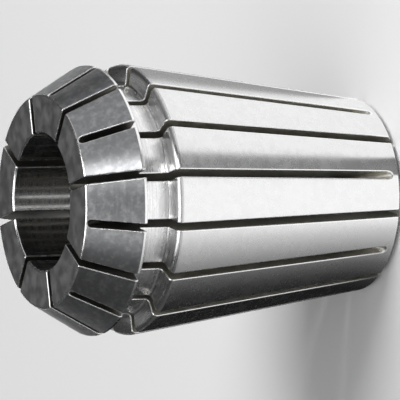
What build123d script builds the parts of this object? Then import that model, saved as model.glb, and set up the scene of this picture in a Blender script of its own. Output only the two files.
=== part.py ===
from build123d import *
import os
from math import radians, sqrt, tan

# A one-piece spring collet of size 25, bored for a 13 mm shank.
#
# It is turned, bored, slotted, hardened and ground from one bar. The collet stands on its small rear face,
# with its axis on +Z and the nose face on top. Sizes are in millimetres.

# --- Body ---
overall_length = 34.0        # rear face to nose face
bore_diameter = 13.0         # the shank that it grips
body_half_angle = 8.0        # long taper, which seats in the spindle
gauge_diameter = 25.0        # diameter of the long taper on the gauge plane
gauge_depth = 11.66          # gauge plane below the nose face
rear_chamfer = 0.55          # edge break between the long taper and the rear face

# --- Nose and extraction groove ---
nose_half_angle = 30.0       # short taper, which the nut presses on
head_diameter = 25.7         # land at the foot of the short taper
head_length = 5.15           # nose face to the groove
head_land = 0.4              # length of that land
groove_width = 3.1           # the nut's ring pulls on this groove
groove_depth = 1.98          # front edge of the long taper to the floor of the groove
groove_corner_radius = 0.35  # floor of the groove to its rear wall
body_chamfer = 0.4           # edge break where the long taper meets the groove

# --- Broken edges ---
nose_edge_radius = 0.25      # nose face to short taper
head_edge_chamfer = 0.12     # both edges of the land
bore_chamfer = 0.15          # both mouths of the bore

# --- Slots ---
# Each slot is sawn lengthwise with a bevelled blade that enters at one end face and stops short of the other.
# The blade's rim leaves a curved run-out there, and the jaws stay joined by a thin web.
slot_pairs = 8               # slots from the nose, and as many from the rear, in between
slot_width = 0.7
blade_diameter = 63.0
blade_rim_flat = 0.3         # left across the blade's rim, between the bevels at its sides
blade_reach = 3.5            # distance from the collet's axis to the blade's rim
rear_web = 1.15              # metal left between the slots from the nose and the rear face
nose_web = 0.12              # metal left between the slots from the rear and the nose face
saw_overrun = 2.0            # how far past the end face the blade's centre starts

# --- Worked out from the sizes above ---
body_slope = tan(radians(body_half_angle))
nose_slope = tan(radians(nose_half_angle))
gauge_height = overall_length - gauge_depth
head_bottom = overall_length - head_length
land_top = head_bottom + head_land
groove_bottom = head_bottom - groove_width
nose_radius = head_diameter / 2 - (overall_length - land_top) * nose_slope


def body_radius(height):
    """Radius of the long taper at a height above the rear face."""
    return gauge_diameter / 2 + (height - gauge_height) * body_slope


def blade_run(radius):
    """Distance along the axis from the blade's centre to its rim, at a distance from the collet's axis."""
    blade_radius = blade_diameter / 2
    return sqrt(blade_radius**2 - (blade_reach + blade_radius - radius) ** 2)


groove_radius = body_radius(groove_bottom) - groove_depth

# The blade stops where its rim leaves the stated web on the outer surface.
nose_slot_stop = rear_web + blade_run(body_radius(rear_web))
rear_slot_stop = overall_length - nose_web - blade_run(nose_radius + nose_web * nose_slope)


def saw_sweep(first, last):
    """The space that the blade passes through as its centre travels between two heights."""
    with BuildPart() as sweep_of_blade:
        with BuildSketch(Plane.XZ):
            with Locations((blade_reach + blade_diameter / 2, (first + last) / 2)):
                SlotCenterToCenter(abs(last - first), blade_diameter, rotation=90)
        extrude(amount=slot_width / 2, both=True)
        rims = sweep_of_blade.faces().filter_by(Axis.Y).edges()
        chamfer(rims, (slot_width - blade_rim_flat) / 2)
    return sweep_of_blade.part


nose_saw = saw_sweep(nose_slot_stop, overall_length + saw_overrun)
rear_saw = saw_sweep(-saw_overrun, rear_slot_stop)

# --- The collet ---
with BuildPart() as collet:
    with BuildSketch(Plane.XZ):
        with BuildLine():
            Polyline(
                (0, 0),
                (body_radius(0), 0),
                (body_radius(groove_bottom), groove_bottom),
                (groove_radius, groove_bottom),
                (groove_radius, head_bottom),
                (head_diameter / 2, head_bottom),
                (head_diameter / 2, land_top),
                (nose_radius, overall_length),
                (0, overall_length),
                close=True,
            )
        make_face()
    revolve(axis=Axis.Z)
    Hole(bore_diameter / 2)

    # Edge breaks, from the rear face up to the nose face.
    turned_edges = collet.edges().filter_by(GeomType.CIRCLE).group_by(Axis.Z)
    rear_bore_edge, rear_edge = turned_edges[0].sort_by(SortBy.RADIUS)
    groove_corner, body_edge = turned_edges[1].sort_by(SortBy.RADIUS)
    head_edge = turned_edges[2].sort_by(SortBy.RADIUS)[-1]
    land_edge = turned_edges[3][0]
    nose_bore_edge, nose_edge = turned_edges[4].sort_by(SortBy.RADIUS)
    chamfer([rear_bore_edge, nose_bore_edge], bore_chamfer)
    chamfer(rear_edge, rear_chamfer)
    chamfer(body_edge, body_chamfer)
    fillet(groove_corner, groove_corner_radius)
    chamfer([head_edge, land_edge], head_edge_chamfer)
    fillet(nose_edge, nose_edge_radius)

    # The two opposed sets of slots, half a pitch apart. +X runs through the middle of a jaw.
    pitch = 360 / slot_pairs
    with PolarLocations(0, slot_pairs, start_angle=pitch / 4):
        add(nose_saw, mode=Mode.SUBTRACT)
    with PolarLocations(0, slot_pairs, start_angle=3 * pitch / 4):
        add(rear_saw, mode=Mode.SUBTRACT)

collet.part.label = "collet"

os.makedirs("parts", exist_ok=True)
export_step(collet.part, "parts/collet.step")
print("collet volume %.1f mm3, solids %d" % (collet.part.volume, len(collet.part.solids())))
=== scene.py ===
import bmesh
import bpy
from collections import namedtuple
from math import asin, atan2, cos, hypot, pi, radians, sin, sqrt, tan
from mathutils import Matrix, Vector


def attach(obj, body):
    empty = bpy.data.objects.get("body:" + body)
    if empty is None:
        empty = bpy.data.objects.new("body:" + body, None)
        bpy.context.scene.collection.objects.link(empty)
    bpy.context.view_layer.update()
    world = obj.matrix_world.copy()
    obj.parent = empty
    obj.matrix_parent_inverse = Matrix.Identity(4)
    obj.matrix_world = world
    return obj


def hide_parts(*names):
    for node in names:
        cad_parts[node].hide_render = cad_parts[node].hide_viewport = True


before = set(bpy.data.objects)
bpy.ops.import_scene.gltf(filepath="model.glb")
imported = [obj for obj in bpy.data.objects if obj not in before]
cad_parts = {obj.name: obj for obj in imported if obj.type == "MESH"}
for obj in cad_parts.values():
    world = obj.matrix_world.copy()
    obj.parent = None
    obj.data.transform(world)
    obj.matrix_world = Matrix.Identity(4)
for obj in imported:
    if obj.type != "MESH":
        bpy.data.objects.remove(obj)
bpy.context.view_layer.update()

# ---- The camera ----
# It stands in front of the collet, 26 degrees above the floor, and is turned on its side. The nose of
# the standing collet then points to the left of the frame and its rear face to the right.
mm = 0.001


def new_object(name, data):
    """An object in the scene, made from its data."""
    made = bpy.data.objects.new(name, data)
    bpy.context.collection.objects.link(made)
    return made


camera_place = Vector((3.75, -347.54, 189.78)) * mm
camera_right = Vector((-0.01969, -0.44485, -0.89539))
camera_up = Vector((0.99975, 0.00035, -0.02216))
camera_back = camera_right.cross(camera_up)
camera_data = bpy.data.cameras.new("studio_camera")
camera_data.sensor_width = 36.0
camera_data.lens = 362.54
camera_data.clip_start = 0.02
camera_data.clip_end = 20.0
camera = new_object("studio_camera", camera_data)
camera_axes = Matrix((camera_right, camera_up, camera_back)).transposed()
camera.matrix_world = Matrix.Translation(camera_place) @ camera_axes.to_4x4()
bpy.context.scene.camera = camera
bpy.context.scene.view_settings.view_transform = "Standard"

# ---- The turned blank ----
# One bar of spring steel, turned to a long taper, an extraction groove and a short nose taper, bored
# through, and later hardened and ground. The section is in millimetres: distance from the axis, height.
# It runs from the bore over the rear face, the long taper, the groove and the nose, and down the bore.
length = 34.0
bore = 6.5                # its radius
body_slope = tan(radians(8.0))
nose_slope = tan(radians(30.0))
gauge_radius = 12.5       # of the long taper, at the gauge height
gauge_height = 22.34
groove_radius = 11.0
groove_bottom = 25.75
head_radius = 12.85       # of the land at the foot of the nose taper
head_bottom = 28.85
land_height = 29.25


def taper_radius(height):
    """Radius of the long taper at a height above the rear face."""
    return gauge_radius + (height - gauge_height) * body_slope


rear_bore = Vector((bore, 0.0))
rear_rim = Vector((taper_radius(0.0), 0.0))
body_rim = Vector((taper_radius(groove_bottom), groove_bottom))
groove_rear = Vector((groove_radius, groove_bottom))
groove_front = Vector((groove_radius, head_bottom))
head_rear = Vector((head_radius, head_bottom))
land_top = Vector((head_radius, land_height))
nose_rim = Vector((head_radius - (length - land_height) * nose_slope, length))
nose_bore = Vector((bore, length))

# Each corner, its chamfer, the rounding of what is left, and the finishes of the rounding, of the
# chamfer and of the flank that leads on to the next corner.
corners = (
    (rear_bore, 0.15, 0.16, "bore", "bore", "rear"),
    (rear_rim, 0.55, 0.16, "edge", "rear", "taper"),
    (body_rim, 0.0, 0.45, "groove", None, "groove"),
    (groove_rear, 0.0, 0.35, "groove", None, "groove"),
    (groove_front, 0.0, 0.16, "groove", None, "groove"),
    (head_rear, 0.12, 0.18, "edge", "edge", "edge"),
    (land_top, 0.0, 0.16, "cone", None, "cone"),
    (nose_rim, 0.0, 0.26, "edge", None, "face"),
    (nose_bore, 0.15, 0.16, "edge", "bore", "bore"),
)
bends = []
for number, (corner, chamfer, radius, rounding, facet, flank) in enumerate(corners):
    if chamfer:
        to_last = (corners[number - 1][0] - corner).normalized()
        to_next = (corners[(number + 1) % len(corners)][0] - corner).normalized()
        bends.append((corner + to_last * chamfer, radius, rounding, facet))
        bends.append((corner + to_next * chamfer, radius, rounding, flank))
    else:
        bends.append((corner, radius, rounding, flank))

# The rows of the mesh follow the section. A row close to each end of a rounding keeps the flanks flat.
Row = namedtuple("Row", "spot normal finish cut angle outside", defaults=(None, None, True))
close = 0.03              # how close it is
coarsest = radians(14)    # the widest angle between two rows of a rounding
blank = []
for number, (corner, radius, rounding, flank) in enumerate(bends):
    before, after = bends[number - 1][0], bends[(number + 1) % len(bends)][0]
    into, out = (corner - before).normalized(), (after - corner).normalized()
    bend = atan2(into.x * out.y - into.y * out.x, into.dot(out))
    reach = radius * tan(abs(bend) / 2)
    to_centre = Vector((-into.y, into.x)) * (radius if bend > 0 else -radius)
    centre = corner - into * reach + to_centre
    square_to = Vector((into.y, -into.x))
    blank.append(Row(corner - into * (reach + close), square_to, bends[number - 1][3]))
    steps = max(2, round(abs(bend) / coarsest))
    for step in range(steps + 1):
        swing = Matrix.Rotation(bend * step / steps, 2)
        finish = flank if step == steps else rounding
        blank.append(Row(centre - swing @ to_centre, swing @ square_to, finish))
    blank.append(Row(corner + out * (reach + close), Vector((out.y, -out.x)), flank))
bore_path = [blank[-1], blank[0]]

# ---- The saw cuts ----
# Sixteen slots make the steel springy: eight are sawn in from the nose and eight from the rear, in
# between. The saw stops short of the far face, so its round rim leaves a curved run-out under a thin
# web, which holds the jaws together. All the edges of the slots are then broken.
slot_pairs = 8
pitch = radians(180 / slot_pairs)    # from the middle of a slot to the middle of the next
half_width = 0.35         # half the saw's thickness, and the rounding of its rim
broken = 0.11             # how far a broken edge reaches to either side
widest = half_width + broken
saw_radius = 31.5
saw_axis = 35.0           # distance of the saw's axis from the collet's
web_rear = 1.15           # left on the skin between the nose slots and the rear face
web_nose = 0.12           # left on the skin between the rear slots and the nose face
halvings = 44             # how often a search halves its range


def saw_run(radius):
    """Distance along the collet from the saw's axis to its rim, at a distance from the collet's axis."""
    return sqrt(saw_radius**2 - (saw_axis - radius) ** 2)


class SawCut:
    """One slot, in its own plane: x away from the collet's axis, y across the slot, z up."""

    def __init__(self, stop, way):
        self.stop = stop      # height of the saw's axis at the end of the cut
        self.way = way        # 1 where the saw comes from the nose, -1 where it comes from the rear

    def depth(self, spot, y):
        """How far inside the saw's path a point is that lies on the section, y from the slot's middle."""
        x = sqrt(spot.x**2 - y**2)
        return saw_radius - hypot(saw_axis - x, min((spot.y - self.stop) * self.way, 0.0))

    def meet(self, path, inset, y, depth):
        """Where on a path of rows, or inset below it, the saw's path has a given depth."""
        low, high = 0.0, len(path) - 1.0
        rising = self.depth(path[-1].spot, y) > self.depth(path[0].spot, y)
        for halving in range(halvings):
            place = (low + high) / 2
            first = min(int(place), len(path) - 2)
            share = place - first
            normal = path[first].normal.lerp(path[first + 1].normal, share).normalized()
            spot = path[first].spot.lerp(path[first + 1].spot, share)
            if (self.depth(spot - normal * inset, y) < depth) == rising:
                low = place
            else:
                high = place
        return place, Row(spot - normal * inset, normal, path[first].finish)

    def angle_at(self, spot):
        """How far round the slot's tip a row lies: 0 ahead of the tip, pi where the slot is straight."""
        low, high = 0.0, pi / 2
        if self.depth(spot, 0.0) <= -broken:
            return 0.0
        if self.depth(spot, widest) >= half_width:
            return pi
        for halving in range(halvings):
            angle = (low + high) / 2
            if self.depth(spot, widest * sin(angle)) < half_width - widest * cos(angle):
                high = angle
            else:
                low = angle
        return angle

    def lip(self, row):
        """Distance from the slot's middle to the edge of the skin on a row, nothing where it is whole."""
        if row.cut is self:
            return widest * sin(min(row.angle, pi / 2))
        return widest if self.angle_at(row.spot) > pi / 2 else 0.0


nose_cut = SawCut(web_rear + saw_run(taper_radius(web_rear)), 1)
rear_cut = SawCut(length - web_nose - saw_run(nose_rim.x + web_nose * nose_slope), -1)

# The round tips of the slots add rows of their own, outside and in the bore.
past_tip = 2.0            # stands for the angle of a row just after the tip, where the slot is straight
placed = list(enumerate(blank))
for cut in (nose_cut, rear_cut):
    angles = [radians(angle) for angle in range(0, 91, 15)] + [past_tip]
    for number, row in enumerate(blank):
        angle = cut.angle_at(row.spot)
        if 0 < angle < pi / 2:
            placed[number] = (number, row._replace(cut=cut, angle=angle))
            angles.append(angle)
    for angle in angles:
        edge_y = widest * sin(min(angle, pi / 2))
        edge_depth = half_width + close if angle == past_tip else half_width - widest * cos(angle)
        place, row = cut.meet(blank, 0.0, edge_y, edge_depth)
        if angle not in [row.angle for number, row in placed if row.cut is cut]:
            placed.append((place, row._replace(cut=cut, angle=angle)))
        place, row = cut.meet(bore_path, 0.0, edge_y, edge_depth)
        placed.append((len(blank) - 1 + place, row._replace(cut=cut, angle=angle, outside=False)))
placed.sort(key=lambda item: item[0])
rows = [row for place, row in placed]

# ---- One jaw ----
# A jaw lies between a nose slot and the next rear slot, and its neighbours are its mirror images. So
# only one is shaped: its skin, from the middle of one slot to the middle of the other, and its two sawn
# sides with their broken edges.
finishes = ["taper", "groove", "cone", "face", "rear", "bore", "slot", "edge"]
columns = 9               # of faces across the skin
edge_steps = 4            # of faces over a broken edge
run_out_steps = 16        # of faces along a run-out, from the skin to the bore
as_it_lies = Matrix.Identity(3)
at_the_next_slot = Matrix.Rotation(pitch, 3, "Z") @ Matrix.Diagonal((1.0, -1.0, 1.0))
jaw_points, jaw_faces, jaw_finishes = [], [], []


def panel(points, finish, place):
    """One face through these points, turned to its place."""
    first = len(jaw_points)
    jaw_points.extend(place @ point * mm for point in points)
    jaw_faces.append(range(first, len(jaw_points)))
    jaw_finishes.append(finishes.index(finish))


def patch(grid, row_finishes, place):
    """Four-sided faces between the rows of a grid of points."""
    for lower, upper, finish in zip(grid, grid[1:], row_finishes):
        for corner_set in zip(lower, lower[1:], upper[1:], upper):
            panel(corner_set, finish, place)


skin = []
for row in rows + rows[:1]:
    radius, height = row.spot
    first = asin(nose_cut.lip(row) / radius)
    last = pitch - asin(rear_cut.lip(row) / radius)
    angles = [first + (last - first) * step / columns for step in range(columns + 1)]
    angles[1:1] = [first + close / radius]
    angles[-1:-1] = [last - close / radius]
    skin.append([Vector((radius * cos(angle), radius * sin(angle), height)) for angle in angles])
patch(skin, [row.finish for row in rows], as_it_lies)


def beside_slot(spot, y):
    """A point of the section, moved round to a distance y from the slot's middle."""
    return Vector((sqrt(spot.x**2 - y**2), y, spot.y))


def broken_edge(outer, sharp, inner):
    """A line over a broken edge, from the skin to the slot, rounded where the sharp corner was."""
    line = []
    for step in range(edge_steps + 1):
        share = step / edge_steps
        line.append(outer.lerp(sharp, share).lerp(sharp.lerp(inner, share), share))
    return line


def sawn_side(cut, place):
    """One side of a slot: its broken edge, its curved run-out and its flat wall."""
    tips = [number for number, row in enumerate(rows) if row.cut is cut and row.angle == 0]
    begin = next(number for number in tips if cut.lip(rows[number + 1]) > 0)
    end = next(number for number in tips if number != begin)
    if end < begin:
        end += len(rows)
    edge, run_ends, wall_rows = [], {}, []
    for number in range(begin, end + 1):
        row = rows[number % len(rows)]
        if row.cut is cut:
            path = blank if row.outside else bore_path
            y = half_width * sin(min(row.angle, pi / 2))
            depth = half_width + close if row.angle == past_tip else half_width * (1 - cos(row.angle))
            sharp = beside_slot(cut.meet(path, 0.0, y, depth)[1].spot, y)
            inner = beside_slot(cut.meet(path, broken, y, depth)[1].spot, y)
            run_ends.setdefault(row.angle, []).append(inner)
        else:
            sharp = beside_slot(row.spot, half_width)
            inner = beside_slot(row.spot - row.normal * broken, half_width)
            deeper = beside_slot(row.spot - row.normal * (broken + close), half_width)
            wall_rows.append([inner, deeper])
        edge.append(broken_edge(beside_slot(row.spot, cut.lip(row)), sharp, inner))
    patch(edge, ["edge"] * len(edge), place)

    # The run-out follows the saw's rim from the skin to the bore.
    run_out = []
    for angle in sorted(run_ends):
        first, last = run_ends[angle]
        radius = hypot(first.z - cut.stop, first.x - saw_axis)
        first_turn = atan2(first.z - cut.stop, first.x - saw_axis) % (2 * pi)
        last_turn = atan2(last.z - cut.stop, last.x - saw_axis) % (2 * pi)
        edge_share = close / (radius * abs(last_turn - first_turn))
        line = []
        shares = [step / run_out_steps for step in range(1, run_out_steps)]
        for share in [0, edge_share, *shares, 1 - edge_share, 1]:
            turn = first_turn + (last_turn - first_turn) * share
            line.append(Vector((saw_axis + radius * cos(turn), first.y, cut.stop + radius * sin(turn))))
        run_out.append(line)
    patch(run_out, ["slot"] * len(run_out), place)

    # The flat wall is one face inside a narrow border.
    patch(wall_rows, ["slot"] * len(wall_rows), place)
    last_line = run_out[-1]
    panel([last_line[0], *wall_rows[0], last_line[1]], "slot", place)
    panel([wall_rows[-1][0], last_line[-1], last_line[-2], wall_rows[-1][1]], "slot", place)
    panel([deeper for inner, deeper in wall_rows] + last_line[-2:0:-1], "slot", place)


sawn_side(nose_cut, as_it_lies)
sawn_side(rear_cut, at_the_next_slot)
jaw_mesh = bpy.data.meshes.new("jaw")
jaw_mesh.from_pydata(jaw_points, [], jaw_faces)
jaw_mesh.attributes.new("finish", "INT", "FACE").data.foreach_set("value", jaw_finishes)

# ---- The finishes of the steel ----
# The hardened steel keeps the marks of the tool that cut each face last: the grinding wheel, the lathe,
# the hone or the saw. The marks run round the axis, so highlights stretch along the collet.


class Wire:
    """A socket of a node tree. An expression on wires adds the Math nodes that work it out."""

    def __init__(self, tree, socket):
        self.tree, self.socket = tree, socket

    def also(self, name):
        """Another output of the same node."""
        return Wire(self.tree, self.socket.node.outputs[name])

    def maths(self, operation, first, second):
        """What a Math node makes of two numbers or wires."""
        return self.tree.node("ShaderNodeMath", {"operation": operation}, {0: first, 1: second})

    def __add__(self, other):
        return self.maths("ADD", self, other)

    def __sub__(self, other):
        return self.maths("SUBTRACT", self, other)

    def __rsub__(self, other):
        return self.maths("SUBTRACT", other, self)

    def __mul__(self, other):
        return self.maths("MULTIPLY", self, other)

    def __truediv__(self, other):
        return self.maths("DIVIDE", self, other)

    def __rtruediv__(self, other):
        return self.maths("DIVIDE", other, self)

    def __pow__(self, other):
        return self.maths("POWER", self, other)

    __radd__, __rmul__ = __add__, __mul__


def grey(value, blue=0.0):
    """A grey with a share of blue, which makes it cold."""
    return (value * (1 - blue / 2), value, value * (1 + blue), 1.0)


class Tree:
    """A node tree that is built from expressions."""

    def __init__(self, raw):
        self.raw = raw

    def node(self, kind, settings, values, output=0):
        """Any node: its settings first, such as a ramp's stops, then the values or wires of its sockets."""
        made = self.raw.nodes.new(kind)
        for name, value in settings.items():
            if name == "stops":
                ramp = made.color_ramp.elements
                for place, shade in value:
                    ramp.new(place).color = grey(shade)
                ramp.remove(ramp[0])    # the two stops that the ramp came with
                ramp.remove(ramp[len(ramp) - 1])
            else:
                setattr(made, name, value)
        self.fill(made, values)
        return Wire(self, made.outputs[output])

    def fill(self, node, values):
        """Sets the sockets of a node to values or links them to wires."""
        for name, value in values.items():
            if isinstance(value, Wire):
                self.raw.links.new(value.socket, node.inputs[name])
            else:
                node.inputs[name].default_value = value


class Steel(Tree):
    """A finish of the steel, with the places on the collet that its marks can follow, in millimetres."""

    def __init__(self, name):
        self.material = bpy.data.materials.new(name)
        self.material.use_nodes = True
        super().__init__(self.material.node_tree)
        metres = self.node("ShaderNodeTexCoord", {}, {}, "Object")
        self.place = self.node("ShaderNodeVectorMath", {"operation": "SCALE"}, {0: metres, "Scale": 1 / mm})
        self.x = self.node("ShaderNodeSeparateXYZ", {}, {0: self.place})
        self.y, self.z = self.x.also("Y"), self.x.also("Z")
        self.radius = (self.x * self.x + self.y * self.y) ** 0.5
        self.turn = self.node("ShaderNodeMath", {"operation": "ARCTAN2"}, {0: self.y, 1: self.x})

    def noise(self, place, scale=1.0, detail=3.0, roughness=0.55):
        """Noise from 0 to 1, with about as many blotches to a millimetre as its scale says."""
        values = {"Vector": place, "Scale": scale, "Detail": detail, "Roughness": roughness}
        return self.node("ShaderNodeTexNoise", {}, values)

    def marks(self, round_it, along_it, outward, detail):
        """Noise that is drawn out into tool marks, with a measure for each way that it changes."""
        place = self.node("ShaderNodeCombineXYZ", {}, {"X": round_it, "Y": along_it, "Z": outward})
        return self.noise(place, detail=detail)

    def spread(self, value, low, high, to_low, to_high):
        """The part of a value between low and high, eased to another range."""
        settings = {"interpolation_type": "SMOOTHSTEP"}
        values = {"Value": value, "From Min": low, "From Max": high, "To Min": to_low, "To Max": to_high}
        return self.node("ShaderNodeMapRange", settings, values)

    def vary(self, noise, low, high):
        """A number that follows a noise, which seldom leaves the range from 0.3 to 0.7."""
        return self.spread(noise, 0.3, 0.7, low, high)

    def blend(self, share, first, second):
        """A colour between two others."""
        return self.node("ShaderNodeMix", {"data_type": "RGBA"}, {0: share, 6: first, 7: second}, 2)

    def bump(self, height, distance, strength):
        """Relief that rises with a height from 0 to 1 by a distance in millimetres."""
        values = {"Height": height, "Distance": distance * mm, "Strength": strength}
        return self.node("ShaderNodeBump", {}, values)

    def finish(self, values):
        """The finished material. Its highlights stretch along the axis where it is anisotropic."""
        settled = {"Metallic": 1.0, "Anisotropic Rotation": 0.25}
        self.fill(self.raw.nodes["Principled BSDF"], settled | values)
        return self.material


steel = {}

# The long taper is ground bright. The grind runs round it, under faint clouds of handling marks.
metal = Steel("ground_taper")
grind = metal.marks(metal.turn * 30.0, metal.z * 5.0, 0.0, 3.0)
clouds = metal.noise(metal.place, 0.35)
ripple = metal.noise(metal.place, 1.3, 2.5)
steel["taper"] = metal.finish({
    "Base Color": metal.blend(clouds, grey(0.84), grey(0.92)),
    "Roughness": metal.vary(clouds * 0.5 + ripple * 0.5, 0.22, 0.32),
    "Anisotropic": 0.92,
    "Normal": metal.bump(grind * 0.15 + ripple, 0.012, 0.36),
})

# The groove is as the lathe left it, with the fine rings of the tool's feed. Its rear wall is painted
# darker: painted shade.
metal = Steel("turned_groove")
rings = metal.marks(metal.turn * 0.3, metal.z * 8.0, metal.radius * 8.0, 1.0)
clouds = metal.marks(metal.turn * 6.0, metal.z * 2.0, metal.radius * 2.0, 2.0)
# Painted shade: the base colour darkens on the rear wall and in its corner with the groove's floor.
out_of_wall_shade = metal.spread(metal.z, body_rim.y + 0.05, body_rim.y + 0.35, 0.1, 0.75)
steel["groove"] = metal.finish({
    "Base Color": metal.blend(out_of_wall_shade + metal.vary(rings, 0.0, 0.4), grey(0.50), grey(1.0)),
    "Roughness": metal.vary(clouds, 0.24, 0.32),
    "Anisotropic": 0.85,
    "Normal": metal.bump(rings, 0.003, 0.5),
})

# The nose taper is satin, with faint rings, slightly cold in colour and pale where it is scuffed.
metal = Steel("satin_nose_taper")
scuffs = metal.noise(metal.place, 1.6, 5.0, 0.65)
rings = metal.marks(metal.turn * 6.0, metal.z * 5.0, 0.0, 2.0)
steel["cone"] = metal.finish({
    "Base Color": metal.blend(metal.spread(scuffs, 0.4, 0.75, 0.0, 1.0), grey(0.40, 0.03), grey(0.62, 0.02)),
    "Roughness": metal.vary(rings, 0.29, 0.34),
    "Anisotropic": 0.25,
    "Normal": metal.bump(rings, 0.003, 0.3),
})

# The nose face is ground flat and left matt, with faint rings and stains.
metal = Steel("ground_nose_face")
clouds = metal.noise(metal.place, 0.8, 4.0)
rings = metal.marks(metal.turn, metal.radius * 5.0, 0.0, 2.0)
steel["face"] = metal.finish({
    "Base Color": metal.blend(metal.vary(clouds, 0.0, 1.0), grey(0.58), grey(0.70)),
    "Roughness": metal.vary(clouds, 0.36, 0.48),
    "Normal": metal.bump(rings, 0.003, 0.3),
})

# The rear face is ground flat too, and cleaner.
metal = Steel("ground_rear_face")
rings = metal.marks(metal.turn, metal.radius * 5.0, 0.0, 2.0)
steel["rear"] = metal.finish({
    "Base Color": grey(0.78),
    "Roughness": metal.vary(rings, 0.32, 0.42),
    "Normal": metal.bump(rings, 0.003, 0.3),
})

# The bore is honed smooth, with scratches round it, and darkened by oil.
metal = Steel("honed_bore")
scratches = metal.marks(metal.turn * 0.8, metal.z * 3.0, 0.0, 3.0)
pits = metal.noise(metal.place, 4.0, 2.0)
steel["bore"] = metal.finish({
    "Base Color": metal.blend(scratches, grey(0.56), grey(0.74)),
    "Roughness": metal.vary(scratches, 0.11, 0.20),
    "Anisotropic": 0.6,
    "Normal": metal.bump(pits, 0.004, 0.35),
})

# The slots keep the marks of the saw. Their walls are painted darker towards the bore and darkest in the
# head: painted shade deep in the narrow slots.
metal = Steel("sawn_slot")
saw_marks = metal.marks(metal.radius * 6.0, metal.z * 0.5, 0.0, 3.0)
# Painted shade: the walls darken towards the bore, and to near black in the slots of the head.
out_of_slot_shade = metal.spread(metal.radius, bore, 10.0, 0.0, 1.0)
shade_in_head = metal.spread(metal.z, groove_rear.y, land_top.y, 0.0, 0.85)
slot_shade, bare_sawn, head_slot_shade = (0.26, 0.25, 0.22, 1.0), (0.80, 0.78, 0.71, 1.0), (0.10, 0.095, 0.085, 1.0)
sawn = metal.blend(out_of_slot_shade * 0.7 + saw_marks * 0.3, slot_shade, bare_sawn)
steel["slot"] = metal.finish({
    "Base Color": metal.blend(shade_in_head, sawn, head_slot_shade),
    "Roughness": metal.vary(saw_marks, 0.36, 0.50),
    "Normal": metal.bump(saw_marks, 0.004, 0.4),
})

# The broken edges are the brightest.
metal = Steel("broken_edge")
wear = metal.noise(metal.place, 1.6)
steel["edge"] = metal.finish({
    "Base Color": grey(0.97),
    "Roughness": metal.vary(wear, 0.20, 0.32),
})

# ---- The collet ----
# The whole collet is one piece of spring steel. The jaw and its mirror image make a pair, the pair is
# set round the axis eight times, and the seams between them are welded up.
weld_distance = 0.0005 * mm
ring = Tree(bpy.data.node_groups.new("ring_of_jaws", "GeometryNodeTree"))
inlets = {}
inlet_kinds = {"Jaw": "Geometry", "Pairs": "Int", "First turn": "Float", "Weld distance": "Float"}
for name, kind in inlet_kinds.items():
    inlets[name] = ring.raw.interface.new_socket(name, in_out="INPUT", socket_type="NodeSocket" + kind)
ring.raw.interface.new_socket("Collet", in_out="OUTPUT", socket_type="NodeSocketGeometry")
given = ring.node("NodeGroupInput", {}, {})
pairs = given.also("Pairs")
mirrored = ring.node("GeometryNodeTransform", {}, {"Geometry": given, "Scale": (1.0, -1.0, 1.0)})
flipped = ring.node("GeometryNodeFlipFaces", {}, {"Mesh": mirrored})
pair = ring.node("GeometryNodeJoinGeometry", {}, {0: given})
ring.fill(pair.socket.node, {0: flipped})
points = ring.node("GeometryNodePoints", {}, {"Count": pairs})
angle = ring.node("GeometryNodeInputIndex", {}, {}) / pairs * (2 * pi) + given.also("First turn")
turned = ring.node("ShaderNodeCombineXYZ", {}, {"Z": angle})
placing = {"Points": points, "Instance": pair, "Rotation": turned}
whole = ring.node("GeometryNodeInstanceOnPoints", {}, placing)
whole = ring.node("GeometryNodeRealizeInstances", {}, {"Geometry": whole})
welding = {"Geometry": whole, "Distance": given.also("Weld distance")}
whole = ring.node("GeometryNodeMergeByDistance", {}, welding)
whole = ring.node("GeometryNodeSetShadeSmooth", {}, {"Geometry": whole})
marked = ring.node("GeometryNodeInputNamedAttribute", {"data_type": "INT"}, {"Name": "finish"})
for number, name in enumerate(finishes):
    settings = {"data_type": "INT", "operation": "EQUAL"}
    chosen = ring.node("FunctionNodeCompare", settings, {2: marked, 3: number})
    values = {"Geometry": whole, "Selection": chosen, "Material": steel[name]}
    whole = ring.node("GeometryNodeSetMaterial", {}, values)
ring.fill(ring.raw.nodes.new("NodeGroupOutput"), {0: whole})

maker = new_object("collet_maker", jaw_mesh)
modifier = maker.modifiers.new("ring_of_jaws", "NODES")
modifier.node_group = ring.raw
modifier[inlets["Pairs"].identifier] = slot_pairs
modifier[inlets["First turn"].identifier] = pitch / 2
modifier[inlets["Weld distance"].identifier] = weld_distance
graph = bpy.context.evaluated_depsgraph_get()
collet_mesh = bpy.data.meshes.new_from_object(maker.evaluated_get(graph), depsgraph=graph)
collet_mesh.name = "collet_steel"
bpy.data.objects.remove(maker)
shell = bmesh.new()
shell.from_mesh(collet_mesh)
bmesh.ops.recalc_face_normals(shell, faces=shell.faces)
shell.to_mesh(collet_mesh)
shell.free()
collet = new_object("collet_steel", collet_mesh)
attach(collet, "root")
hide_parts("collet")

# ---- The floor ----
# The collet stands on its rear face, on a plain sheet of pale, matt board that reaches past the edges
# of the frame.
half_floor = 3.0          # in metres
floor_mesh = bpy.data.meshes.new("floor")
floor_corners = [(x * half_floor, y * half_floor, 0) for x, y in ((-1, -1), (1, -1), (1, 1), (-1, 1))]
floor_mesh.from_pydata(floor_corners, [], [(0, 1, 2, 3)])
board = bpy.data.materials.new("pale_board")
board.use_nodes = True
matt = {"Base Color": grey(0.8), "Roughness": 1.0, "Specular IOR Level": 0.0}
Tree(board.node_tree).fill(board.node_tree.nodes["Principled BSDF"], matt)
floor_mesh.materials.append(board)
floor = new_object("floor", floor_mesh)

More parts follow.
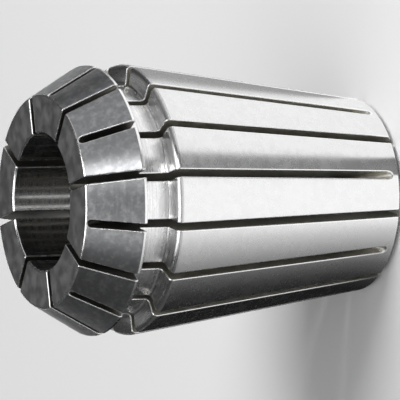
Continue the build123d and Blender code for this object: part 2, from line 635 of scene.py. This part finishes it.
# ---- The card round the collet ----
# A ring of lit card lies on the floor round the collet, and only the steel's reflections show it. It is
# painted in bands that fan out from a point under the collet's front, so that each band lights one
# strip of the long taper. An azimuth runs from the front towards +X, in degrees.
card_inner, card_outer = 9.2, 250.0
fan_point = 4.6           # in front of the axis
card_height = 0.2
card_segments = 72
card_glow = 1.08
bands = (
    (-179.0, 0.40), (-160.0, 0.40), (-150.0, 0.01), (-110.0, 0.01),                          # behind
    (-90.0, 0.035), (-75.0, 0.105), (-60.0, 0.29), (-40.0, 0.60), (-28.0, 0.92),             # fading
    (-21.5, 1.0), (21.0, 1.0), (22.0, 0.19), (40.4, 0.19), (41.4, 0.95), (117.5, 0.95),      # white, gap
    (119.0, 0.36),                                                                           # far side
)
card_points, card_faces = [], []
for segment in range(card_segments):
    turn = 2 * pi * segment / card_segments
    for radius in (card_inner, card_outer):
        card_points.append((radius * mm * sin(turn), -radius * mm * cos(turn), card_height * mm))
    following = (segment + 1) % card_segments
    card_faces.append((2 * segment, 2 * segment + 1, 2 * following + 1, 2 * following))
card_mesh = bpy.data.meshes.new("card")
card_mesh.from_pydata(card_points, [], card_faces)
paint = bpy.data.materials.new("painted_card")
paint.use_nodes = True
paper = Tree(paint.node_tree)
to_side = paper.node("ShaderNodeSeparateXYZ", {}, {0: paper.node("ShaderNodeTexCoord", {}, {}, "Object")})
to_front = 0.0 - to_side.also("Y") - fan_point * mm
turn = paper.node("ShaderNodeMath", {"operation": "ARCTAN2"}, {0: to_side, 1: to_front})
stops = [(azimuth / 360 + 0.5, shade) for azimuth, shade in bands]
painted = paper.node("ShaderNodeValToRGB", {"stops": stops}, {0: turn / (2 * pi) + 0.5})
dull = {"Base Color": grey(0.0), "Roughness": 1.0, "Specular IOR Level": 0.0}
lit = {"Emission Color": painted, "Emission Strength": card_glow}
paper.fill(paint.node_tree.nodes["Principled BSDF"], dull | lit)
card_mesh.materials.append(paint)
card = new_object("card", card_mesh)
card.visible_camera = False
card.visible_diffuse = False
card.visible_shadow = False

# ---- The lamps ----
# The room is a dim grey, with soft lamps round the collet, all turned to its middle. Two light the
# floor and cast the shadow on it. The others are there for the steel, which shows them as highlights.
room = bpy.data.worlds.new("room")
bpy.context.scene.world = room
room.use_nodes = True
Tree(room.node_tree).fill(room.node_tree.nodes["Background"], {"Color": grey(0.06)})
middle = Vector((0.0, 0.0, length / 2)) * mm


def softbox(name, azimuth, elevation, distance, width, height, radiance, lights):
    """A lit panel for either the floor or the steel, its distance and size in metres."""
    data = bpy.data.lights.new(name, "AREA")
    data.shape = "RECTANGLE"
    data.size, data.size_y = width, height
    data.energy = radiance * pi * width * height
    turn, rise = radians(azimuth), radians(elevation)
    offset = Vector((sin(turn) * cos(rise), -cos(turn) * cos(rise), sin(rise))) * distance
    facing = (-offset).to_track_quat("-Z", "Y").to_matrix().to_4x4()
    lamp = new_object(name, data)
    lamp.matrix_world = Matrix.Translation(middle + offset) @ facing
    lamp.visible_camera = False
    lamp.visible_glossy = lights == "steel"
    lamp.visible_diffuse = lights == "floor"


softbox("key", 70, 55, 0.7, 0.40, 0.40, 8.5, "floor")
softbox("fill", -40, 65, 1.0, 1.00, 1.00, 1.4, "floor")
softbox("overhead", 0, 71, 0.5, 0.50, 0.34, 3.6, "steel")      # the roundings of the edges
softbox("strip", 30, 34, 0.4, 0.045, 0.16, 6.5, "steel")       # the streak on the nose taper
softbox("side", 80, 22, 0.5, 0.55, 0.30, 0.42, "steel")        # the upper jaws of the nose taper
softbox("low_front", -33, 31, 0.6, 0.20, 0.30, 0.46, "steel")  # the lower jaws of the nose taper
softbox("front", 0, 14, 0.6, 0.40, 0.26, 0.46, "steel")        # the walls of the groove

# ---- The scene brought up to date ----
bpy.context.view_layer.update()
